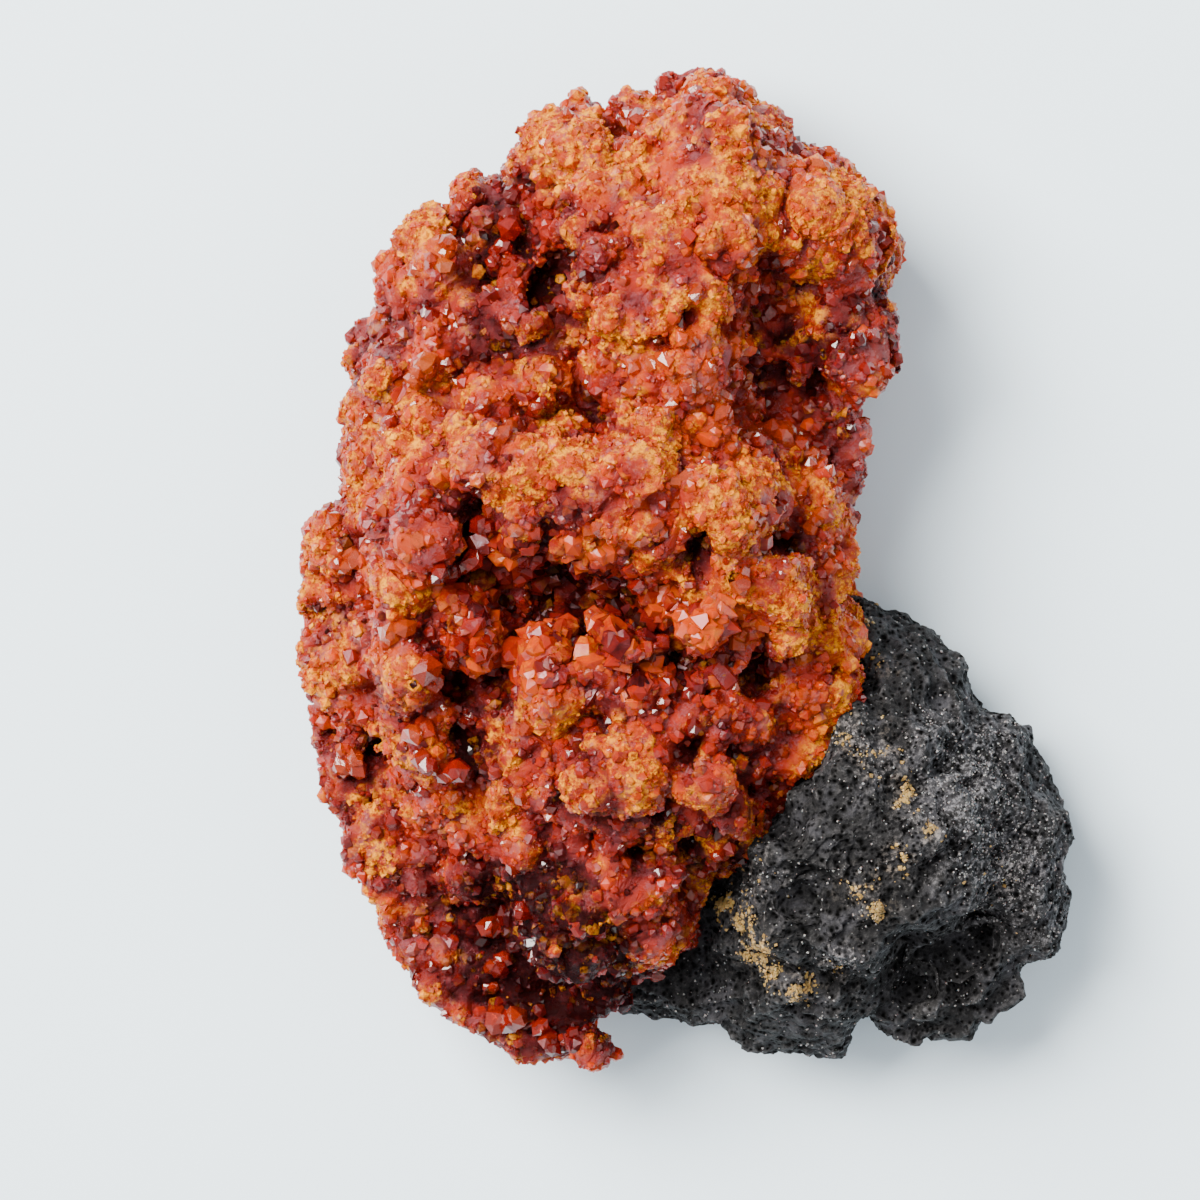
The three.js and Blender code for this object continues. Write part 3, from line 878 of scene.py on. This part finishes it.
def surface_places(mesh, count, wanted, random):
    """Random places on a mesh, more of them where `wanted` is large.

    Returns the places, the normals there, and the index of a mesh point near each.
    """
    mesh.calc_loop_triangles()
    triangles = np.empty(len(mesh.loop_triangles) * 3, np.int32)
    mesh.loop_triangles.foreach_get("vertices", triangles)
    triangles = triangles.reshape(-1, 3)
    points = points_of(mesh)
    a, b, c = (points[triangles[:, k]] for k in range(3))
    cross = np.cross(b - a, c - a)
    area = np.linalg.norm(cross, axis=1) / 2
    weight = area * wanted[triangles].mean(axis=1)
    chosen = random.choice(len(triangles), count, p=weight / weight.sum())
    u, v = random.random_sample((2, count, 1))
    flip = u + v > 1
    u = np.where(flip, 1 - u, u)
    v = np.where(flip, 1 - v, v)
    places = a[chosen] + u * (b - a)[chosen] + v * (c - a)[chosen]
    normals = (cross / np.maximum(2 * area, LEAST_AREA)[:, None])[chosen]
    return places, normals, triangles[chosen, 0]


def turned_frames(axes, random):
    """For each axis, three directions square to each other, the last along it, turned at random."""
    axes = axes / np.linalg.norm(axes, axis=1, keepdims=True)
    helper = random.normal(size=axes.shape)
    side = np.cross(axes, helper)
    side /= np.linalg.norm(side, axis=1, keepdims=True)
    return np.stack([side, np.cross(axes, side), axes], axis=1)


def scattered(name, templates, places, axes, widths, lengths, values, random):
    """One mesh of many crystals. Each takes one of the templates, and carries its own values."""
    kind = random.randint(len(templates), size=len(places))
    frames = turned_frames(axes, random)
    all_points, all_faces = [], []
    per_point = {key: [] for key in values}
    start = 0
    for number, (shape, faces) in enumerate(templates):
        mine = np.nonzero(kind == number)[0]
        uneven = 1 + UNEVENNESS * random.normal(size=(len(mine), len(shape), 3))
        stretch = np.stack([widths[mine], widths[mine], lengths[mine]], axis=1)
        local = shape[None] * uneven * stretch[:, None]
        placed = places[mine][:, None] + np.einsum("nvk,nkj->nvj", local, frames[mine])
        all_points.append(placed.reshape(-1, 3))
        offsets = start + np.arange(len(mine)) * len(shape)
        all_faces.append((faces[None] + offsets[:, None, None]).reshape(-1, 3))
        for key in values:
            per_point[key].append(np.repeat(values[key][mine], len(shape)))
        start += len(mine) * len(shape)
    mesh = bpy.data.meshes.new(name)
    points = in_box(np.concatenate(all_points))
    faces = np.concatenate(all_faces)
    mesh.vertices.add(len(points))
    mesh.vertices.foreach_set("co", points.ravel())
    mesh.loops.add(faces.size)
    mesh.loops.foreach_set("vertex_index", faces.ravel().astype(np.int32))
    mesh.polygons.add(len(faces))
    mesh.polygons.foreach_set("loop_start", np.arange(0, faces.size, 3, dtype=np.int32))
    mesh.polygons.foreach_set("use_smooth", np.zeros(len(faces), bool))
    mesh.update(calc_edges=True)
    mesh.validate()
    for key in values:
        add_attribute(mesh, key, np.concatenate(per_point[key]))
    return mesh


def new_material(name):
    """A material, its node tree and its shader."""
    material = bpy.data.materials.new(name)
    material.use_nodes = True
    tree = material.node_tree
    return material, tree, tree.nodes["Principled BSDF"]


def attribute(tree, name):
    """A value that the mesh carries at its points."""
    node = tree.nodes.new("ShaderNodeAttribute")
    node.attribute_name = name
    return node.outputs["Fac"]


def ramp(tree, value, stops):
    """A colour ramp through the stops, each a place from 0 to 1 and a colour."""
    node = tree.nodes.new("ShaderNodeValToRGB")
    elements = node.color_ramp.elements
    while len(elements) < len(stops):
        elements.new(0.5)
    for element, (place, color) in zip(elements, stops):
        element.position = place
        element.color = (*color, 1)
    tree.links.new(value, node.inputs["Fac"])
    return node.outputs["Color"]


def math_node(tree, operation, a, b):
    """One operation on two values, each a socket or a number. What comes out is kept from 0 to 1."""
    node = tree.nodes.new("ShaderNodeMath")
    node.operation = operation
    node.use_clamp = True
    for socket, value in zip(node.inputs, (a, b)):
        if isinstance(value, bpy.types.NodeSocket):
            tree.links.new(value, socket)
        else:
            socket.default_value = value
    return node.outputs["Value"]


def times(tree, a, b):
    return math_node(tree, "MULTIPLY", a, b)


def plus(tree, a, b):
    return math_node(tree, "ADD", a, b)


def minus(tree, a, b):
    return math_node(tree, "SUBTRACT", a, b)


def noise_texture(tree, kind):
    """Noise over the object's own space, of one of the kinds that are listed above."""
    step, detail, roughness = kind
    place = tree.nodes.new("ShaderNodeTexCoord")
    node = tree.nodes.new("ShaderNodeTexNoise")
    node.inputs["Scale"].default_value = 1 / (step * MM)
    node.inputs["Detail"].default_value = detail
    node.inputs["Roughness"].default_value = roughness
    tree.links.new(place.outputs["Object"], node.inputs["Vector"])
    return node.outputs["Fac"]


def mixed(tree, share, a, b):
    """Colour a, or colour b where the share is 1. Each colour is a socket or a constant."""
    node = tree.nodes.new("ShaderNodeMix")
    node.data_type = "RGBA"
    inputs = {socket.identifier: socket for socket in node.inputs}
    outputs = {socket.identifier: socket for socket in node.outputs}
    for name, value in (("Factor_Float", share), ("A_Color", a), ("B_Color", b)):
        if isinstance(value, bpy.types.NodeSocket):
            tree.links.new(value, inputs[name])
        else:
            inputs[name].default_value = (*value, 1)
    return outputs["Result_Color"]


def bump(tree, shader, height, strength, distance):
    """Bumps on a shader, from heights of 0 to 1 that stand for a distance in mm."""
    node = tree.nodes.new("ShaderNodeBump")
    node.inputs["Strength"].default_value = strength
    node.inputs["Distance"].default_value = distance * MM
    tree.links.new(height, node.inputs["Height"])
    tree.links.new(node.outputs["Normal"], shader.inputs["Normal"])


def zincite_material(name, roughness, frosting, glow, bumps):
    """Orange to deep red crystal, dry and pale where it is frosted, and turned a darker lilac-red where a
    sheen is painted into its colour.

    Its light and dark come from the mesh's tone, which holds painted shade as well as the crystal's own
    tone, and its dry skin from the mesh's frost.
    """
    material, tree, shader = new_material(name)
    mottle = noise_texture(tree, MOTTLE_NOISE)
    tone = plus(tree, attribute(tree, "tone"), times(tree, mottle, MOTTLE))
    tone = minus(tree, tone, MOTTLE / 2)
    color = ramp(tree, tone, ZINCITE_COLORS)
    grains = ramp(tree, noise_texture(tree, GRAIN_NOISE), FROST_GRAINS)
    frost = times(tree, times(tree, attribute(tree, "frost"), frosting), grains)
    dry = ramp(tree, noise_texture(tree, DRY_NOISE), FROST_COLORS)
    color = mixed(tree, frost, color, dry)
    bare = minus(tree, 1.0, times(tree, frost, FROST_COVER))
    lit = times(tree, tone, LIT_GAIN)
    glassy = times(tree, bare, lit)
    patches = ramp(tree, noise_texture(tree, SHEEN_NOISE), SHEEN_PATCHES)
    sheen = times(tree, patches, glassy)
    # Painted sheen: the colour turns a darker lilac-red where the sheen patches lie, standing in for their
    # reflection
    color = mixed(tree, times(tree, sheen, PAINTED_SHEEN_COVER), color, PAINTED_SHEEN_LILAC)
    tree.links.new(color, shader.inputs["Base Color"])
    tree.links.new(plus(tree, times(tree, sheen, SHEEN_ROUGHNESS), roughness), shader.inputs["Roughness"])
    shader.inputs["IOR"].default_value = 1.5
    level = plus(tree, times(tree, sheen, SHEEN_LEVEL), FROST_LEVEL)
    level = plus(tree, level, times(tree, glassy, GLASSY_LEVEL))
    tree.links.new(level, shader.inputs["Specular IOR Level"])
    shader.inputs["Specular Tint"].default_value = (*SPECULAR_TINT, 1)
    tree.links.new(times(tree, bare, glow), shader.inputs["Subsurface Weight"])
    shader.inputs["Subsurface Radius"].default_value = GLOW_RADIUS
    shader.inputs["Subsurface Scale"].default_value = GLOW_DEPTH
    bump(tree, shader, noise_texture(tree, FACET_NOISE), strength=bumps, distance=0.2)
    return material


def glassy_material(name):
    """Clear crystal of a deep colour, which lets light through."""
    material, tree, shader = new_material(name)
    color = ramp(tree, attribute(tree, "tone"), GLASSY_COLORS)
    tree.links.new(color, shader.inputs["Base Color"])
    shader.inputs["Roughness"].default_value = 0.12
    shader.inputs["IOR"].default_value = 1.6
    shader.inputs["Specular IOR Level"].default_value = 0.18
    shader.inputs["Transmission Weight"].default_value = 0.75
    bump(tree, shader, noise_texture(tree, GLASS_NOISE), strength=0.2, distance=0.1)
    return material


def voronoi_pits(tree, step):
    """0 in the middle of each small pit and 1 outside them, the pits step mm apart."""
    place = tree.nodes.new("ShaderNodeTexCoord")
    node = tree.nodes.new("ShaderNodeTexVoronoi")
    node.inputs["Scale"].default_value = 1 / (step * MM)
    tree.links.new(place.outputs["Object"], node.inputs["Vector"])
    return ramp(tree, node.outputs["Distance"], PIT_EDGE)


def rock_material(name):
    """Black vesicular rock, with paler ridges, grey-white dust, tan stains and painted shade in its small
    pits.
    """
    material, tree, shader = new_material(name)
    mottle = noise_texture(tree, ROCK_NOISE)
    fine = noise_texture(tree, FINE_ROCK_NOISE)
    color = ramp(tree, mottle, ROCK_COLORS)
    # Paler on the ridges, from the relief
    paler_on_ridges = times(tree, attribute(tree, "ridge"), fine)
    color = mixed(tree, paler_on_ridges, color, RIDGE_COLOR)
    specks = ramp(tree, fine, ROCK_SPECKS)
    dust = times(tree, attribute(tree, "dust"), specks)
    color = mixed(tree, dust, color, DUST_COLOR)
    stain = times(tree, attribute(tree, "tan"), specks)
    color = mixed(tree, stain, color, STAIN_COLOR)
    wide, narrow = (voronoi_pits(tree, step) for step in PIT_STEPS)
    pits = times(tree, wide, narrow)
    # Painted shade: the pits are darkened to stand in for their depth
    color = mixed(tree, pits, PIT_SHADE_COLOR, color)
    tree.links.new(color, shader.inputs["Base Color"])
    tree.links.new(ramp(tree, fine, ROCK_DULLNESS), shader.inputs["Roughness"])
    glint = ramp(tree, fine, ROCK_GLINTS)
    tree.links.new(times(tree, glint, pits), shader.inputs["Specular IOR Level"])
    grain_height = times(tree, fine, FINE_HEIGHT)
    pit_height = times(tree, pits, PIT_HEIGHT)
    height = plus(tree, grain_height, pit_height)
    bump(tree, shader, height, strength=1.0, distance=0.3)
    return material


def crumb_material(name, color, roughness):
    """Mineral crumbs, some darker than the colour that is given."""
    material, tree, shader = new_material(name)
    dark = tuple(DARK_CRUMB * channel for channel in color)
    tint = ramp(tree, attribute(tree, "tone"), ((0, dark), (1, color)))
    tree.links.new(tint, shader.inputs["Base Color"])
    shader.inputs["Roughness"].default_value = roughness
    shader.inputs["Subsurface Weight"].default_value = 0.15
    shader.inputs["Subsurface Scale"].default_value = 0.4 * MM
    return material


def knobbed(mesh, rounds):
    """Gives a zincite mesh its forms, knobs, tone and frost, and returns the tone and the frost. The tone
    holds painted shade and light as well as the crystal's own light and dark.
    """
    soften(mesh, rounds)
    points = points_of(mesh)
    normals = normals_of(mesh)
    frosted = facing(normals) * spot_field(points, ZINCITE_SPOTS, FROST)
    knobs = sum(height * (domes(points, step, seed) - mean) for step, seed, height, mean in KNOBS)
    push = knobs * (1 - FROSTED_CALM * np.clip(frosted, 0, 1))
    push += FORM_HEIGHT * facing(normals) * spot_field(points, ZINCITE_FORMS, PUSH)
    push += noises_at(points, CRUST_LUMPS) + CRUST_RISE
    points = pushed(points, normals, push * height_share(points, KNOBBED_HEIGHTS))
    set_points(mesh, points)
    normals = normals_of(mesh)
    relief = relief_of(mesh, points, normals, RELIEF_ROUNDS)
    fine_relief = relief_of(mesh, points, normals, FINE_RELIEF_ROUNDS)
    dry = frosted + RELIEF_FROST * np.clip(relief, -1, 1)
    dry += noises_at(points + FROST_SHIFT, FROST_PATCHES)
    frost = smoothstep(*FROST_RANGE, dry)
    tone = BASE_TONE + FROST_TONE * frost
    # Partly painted shade: the darker spots paint the shadow under the lobe and the cube and the shade in
    # the hollows
    tone += SPOT_TONE_AND_SHADE * facing(normals) * spot_field(points, ZINCITE_SPOTS, TONE_AND_SHADE)
    # Painted shade and light from the relief: darker in creases and hollows, lighter on knobs and ridges
    tone += RELIEF_LIGHT_AND_SHADE * np.clip(relief, -1, 1)
    tone += FINE_RELIEF_LIGHT_AND_SHADE * np.clip(fine_relief, *FINE_RELIEF_LIGHT_AND_SHADE_RANGE)
    tone += PATCH_TONE * np.clip(noises_at(points, TONE_PATCHES), *PATCH_RANGE)
    tone = np.clip(tone, 0, 1)
    add_attribute(mesh, "tone", tone)
    add_attribute(mesh, "frost", frost)
    return tone, frost


def crystals_on(name, mesh, kind, wanted, values, templates, random):
    """Crystals of one of the kinds listed above, scattered on a mesh, more of them where `wanted` is large.

    `values` holds, for each value that they carry, its field on the mesh and its spread. Narrow crystals
    are more common than wide ones.
    """
    count, least, greatest, length, lean, sunk = kind
    places, normals, nearest = surface_places(mesh, count, wanted, random)
    widths = (least + (greatest - least) * random.random_sample(count) ** 2) * MM
    lengths = widths * length * (SHORTEST + LENGTH_SPREAD * random.random_sample(count))
    axes = normals + lean * random.normal(size=(count, 3))
    places = places - normals * (sunk * lengths)[:, None]
    over = np.clip(ROOM_ABOVE * lengths - room_along(places, normals), 0, None)
    places = places - normals * over[:, None]
    own = {}
    for key, (field, spread) in values.items():
        own[key] = np.clip(field[nearest] + spread * random.normal(size=count), 0, 1)
    return scattered(name, templates, places, axes, widths, lengths, own, random)


def named_crystals(mesh, random):
    """The crystals that stand out, in small clusters on the surface where the camera sees them."""
    points = points_of(mesh)
    normals = normals_of(mesh)
    seen = seen_at(points)
    near = np.array(TOWARDS_CAMERA) @ points.T
    chosen = []
    for right, up, _, _ in NAMED_CRYSTALS:
        away = np.hypot(seen[:, 0] - right, seen[:, 1] - up)
        # A point beyond the reach counts as a metre farther from the camera
        chosen.append(np.argmax(near - (away > CLUSTER_REACH)))
    chosen = np.repeat(chosen, CLUSTER)
    widths = np.repeat([CLUSTER_WIDTH * width * MM for _, _, width, _ in NAMED_CRYSTALS], CLUSTER)
    tones = np.repeat([tone for _, _, _, tone in NAMED_CRYSTALS], CLUSTER)
    count = len(chosen)
    axes = normals[chosen] + CLUSTER_TOWARDS * np.array(TOWARDS_CAMERA)
    axes = axes + CLUSTER_LEAN * random.normal(size=(count, 3))
    places = points[chosen] + CLUSTER_SPREAD * widths[:, None] * random.normal(size=(count, 3))
    widths = widths * (CLUSTER_LEAST + CLUSTER_SIZES * random.random_sample(count))
    values = {"tone": tones + CLUSTER_TONES * random.normal(size=count)}
    templates = [blunt_crystal(), prism_crystal()]
    return scattered("named", templates, places, axes, widths, widths, values, random)


def dress_zincite():
    """The crust, and the crystals and grains that it carries."""
    mesh = remeshed("crust", "zincite_crust", CRUST_VOXEL)
    tone, frost = knobbed(mesh, CRUST_SOFTENING)
    above = height_share(points_of(mesh), GROWN_HEIGHTS)
    chunky = [blunt_crystal(), nodule(), nodule(), nodule()]
    crumbly = [grain(), block()]
    sharp = [prism_crystal(), blunt_crystal(), blunt_crystal()]
    values = {"tone": (tone, TONE_SPREAD), "frost": (frost, FROST_SPREAD)}
    clear_values = {"tone": (np.clip(tone, 0, CLEAR_TONE), CLEAR_TONE_SPREAD)}
    where_bare = above * (MEDIUM_ON_BARE - MEDIUM_LOST_TO_FROST * frost)
    where_frosted = above * (FINE_ON_BARE + frost)
    where_glassy = above * (CLEAR_ON_BARE - frost) ** 2 * (CLEAR_ON_DARK + tone)
    random = np.random.RandomState(7)
    medium = crystals_on("crystals", mesh, MEDIUM, where_bare, values, chunky, random)
    fine = crystals_on("fine_crystals", mesh, FINE, where_frosted, values, crumbly, random)
    clear = crystals_on("glassy_crystals", mesh, CLEAR, where_glassy, clear_values, sharp, random)
    named = named_crystals(mesh, random)
    crust = zincite_material("zincite_crust_skin", roughness=0.22, frosting=1.0, glow=0.8, bumps=0.8)
    facets = zincite_material("zincite_facets", roughness=0.1, frosting=0.9, glow=0.9, bumps=0.25)
    frosting = zincite_material("zincite_frosting", roughness=0.2, frosting=1.0, glow=0.8, bumps=0.5)
    glass = glassy_material("zincite_glassy")
    piece("zincite_crust_surface", mesh, crust, ("zincite_crust",))
    piece("zincite_crystals", medium, facets)
    piece("zincite_large_crystals", named, glass)
    piece("zincite_fine_crystals", fine, frosting)
    piece("zincite_glassy_crystals", clear, glass)


def dress_druse():
    """The crystals that line the big hollow under the ledge."""
    mesh = remeshed("druse", "hollow_druse", DRUSE_VOXEL)
    tone, frost = knobbed(mesh, DRUSE_SOFTENING)
    towards = facing(normals_of(mesh)) + DRUSE_TURNED_AWAY
    random = np.random.RandomState(41)
    values = {"tone": (tone, DRUSE_TONE_SPREAD), "frost": (DRUSE_FROST * frost, FROST_SPREAD)}
    shapes = [blunt_crystal(), blunt_crystal(), prism_crystal(), nodule()]
    crystals = crystals_on("druse", mesh, DRUSE, towards, values, shapes, random)
    skin = zincite_material("zincite_druse_skin", roughness=0.15, frosting=0.5, glow=0.6, bumps=0.6)
    facets = zincite_material("zincite_druse_facets", roughness=0.08, frosting=0.5, glow=0.6, bumps=0.15)
    piece("hollow_druse_surface", mesh, skin, ("hollow_druse",))
    piece("hollow_druse_crystals", crystals, facets)


def dress_rock():
    """The rock, with its vesicles, its dust and stains, and the crumbs on it."""
    mesh = remeshed("rock", "matrix", ROCK_VOXEL)
    points = points_of(mesh)
    normals = normals_of(mesh)
    push = noises_at(points, ROCK_LUMPS)
    for step, seed, start, deepest, depth, patch, level in VESICLES:
        holes = smoothstep(start, deepest, domes(points, step, seed))
        push -= depth * holes * (noise_at(points, patch) > level)
    push += facing(normals) * spot_field(points, ROCK_FORMS, PUSH)
    points = pushed(points, normals, push * height_share(points, ROUGH_HEIGHTS))
    set_points(mesh, points)
    relief = relief_of(mesh, points, normals_of(mesh), RELIEF_ROUNDS)
    dusty = spot_field(points, ROCK_SPOTS, DUST)
    stained = spot_field(points, ROCK_SPOTS, STAIN)
    streaks = STREAK_BASE + STREAK_GAIN * noise_at(points, STREAK_WAVES) + STREAK_RELIEF * relief
    streaks = np.clip(streaks, 0, 1)
    # Paler on the ridges, from the relief: the ridge colour, and more of the dust
    add_attribute(mesh, "ridge", np.clip(RIDGE_GAIN * relief, 0, 1))
    add_attribute(mesh, "dust", np.clip(dusty + DUST_GAIN * relief, 0, 1))
    add_attribute(mesh, "tan", np.clip(stained * (STAIN_BASE + streaks), 0, 1))
    piece("matrix_rock", mesh, rock_material("matrix_rock_skin"), ("matrix",))
    random = np.random.RandomState(23)
    above = height_share(points, GROWN_HEIGHTS)
    plain = {"tone": (np.full(len(points), CRUMB_TONE), CRUMB_TONE_SPREAD)}
    where_tan = above * np.clip(stained * streaks, 0, 1) ** 2 + LEAST_CHANCE
    where_pale = above * (PALE_ON_BARE + np.clip(dusty, 0, 1) ** 2)
    tan = crystals_on("tan", mesh, TAN, where_tan, plain, [grain()], random)
    pale = crystals_on("pale", mesh, PALE, where_pale, plain, [grain()], random)
    tan_skin = crumb_material("tan_crumbs", TAN_CRUMB_COLOR, roughness=0.5)
    pale_skin = crumb_material("pale_crumbs", PALE_CRUMB_COLOR, roughness=0.4)
    piece("matrix_tan_crumbs", tan, tan_skin)
    piece("matrix_pale_crumbs", pale, pale_skin)


def make_camera():
    """The camera, which looks square at the picture's middle."""
    data = bpy.data.cameras.new("camera")
    data.sensor_width = SENSOR
    data.lens = SENSOR * VIEW_DISTANCE / VIEW_WIDTH
    data.clip_end = CLIP_END
    camera = bpy.data.objects.new("camera", data)
    right, up, back = camera_axes()
    turn = Matrix((right, up, back)).transposed().to_4x4()
    camera.matrix_world = Matrix.Translation(VIEW_MIDDLE + back * VIEW_DISTANCE) @ turn
    bpy.context.scene.collection.objects.link(camera)
    bpy.context.scene.camera = camera


def area_light(name, place, power, color):
    """A square light that faces the specimen."""
    data = bpy.data.lights.new(name, "AREA")
    data.size = LIGHT_SIZE
    data.energy = power
    data.color = color
    light = bpy.data.objects.new(name, data)
    light.location = place
    light.rotation_euler = (-Vector(place)).to_track_quat("-Z", "Y").to_euler()
    bpy.context.scene.collection.objects.link(light)


def make_studio():
    """A pale paper floor in a bright room, with one large light and a faint one across from it."""
    bpy.ops.mesh.primitive_plane_add(size=FLOOR_SIZE)
    floor = bpy.context.object
    floor.name = "floor"
    material, _, shader = new_material("floor_paper")
    shader.inputs["Base Color"].default_value = (*FLOOR_COLOR, 1)
    shader.inputs["Roughness"].default_value = FLOOR_ROUGHNESS
    floor.data.materials.append(material)
    world = bpy.data.worlds.new("studio")
    world.use_nodes = True
    background = world.node_tree.nodes["Background"]
    background.inputs["Color"].default_value = (*ROOM_COLOR, 1)
    background.inputs["Strength"].default_value = ROOM_STRENGTH
    bpy.context.scene.world = world
    area_light("key", KEY_PLACE, KEY_POWER, KEY_COLOR)
    area_light("fill", FILL_PLACE, FILL_POWER, FILL_COLOR)


make_camera()
make_studio()
dress_zincite()
dress_druse()
dress_rock()
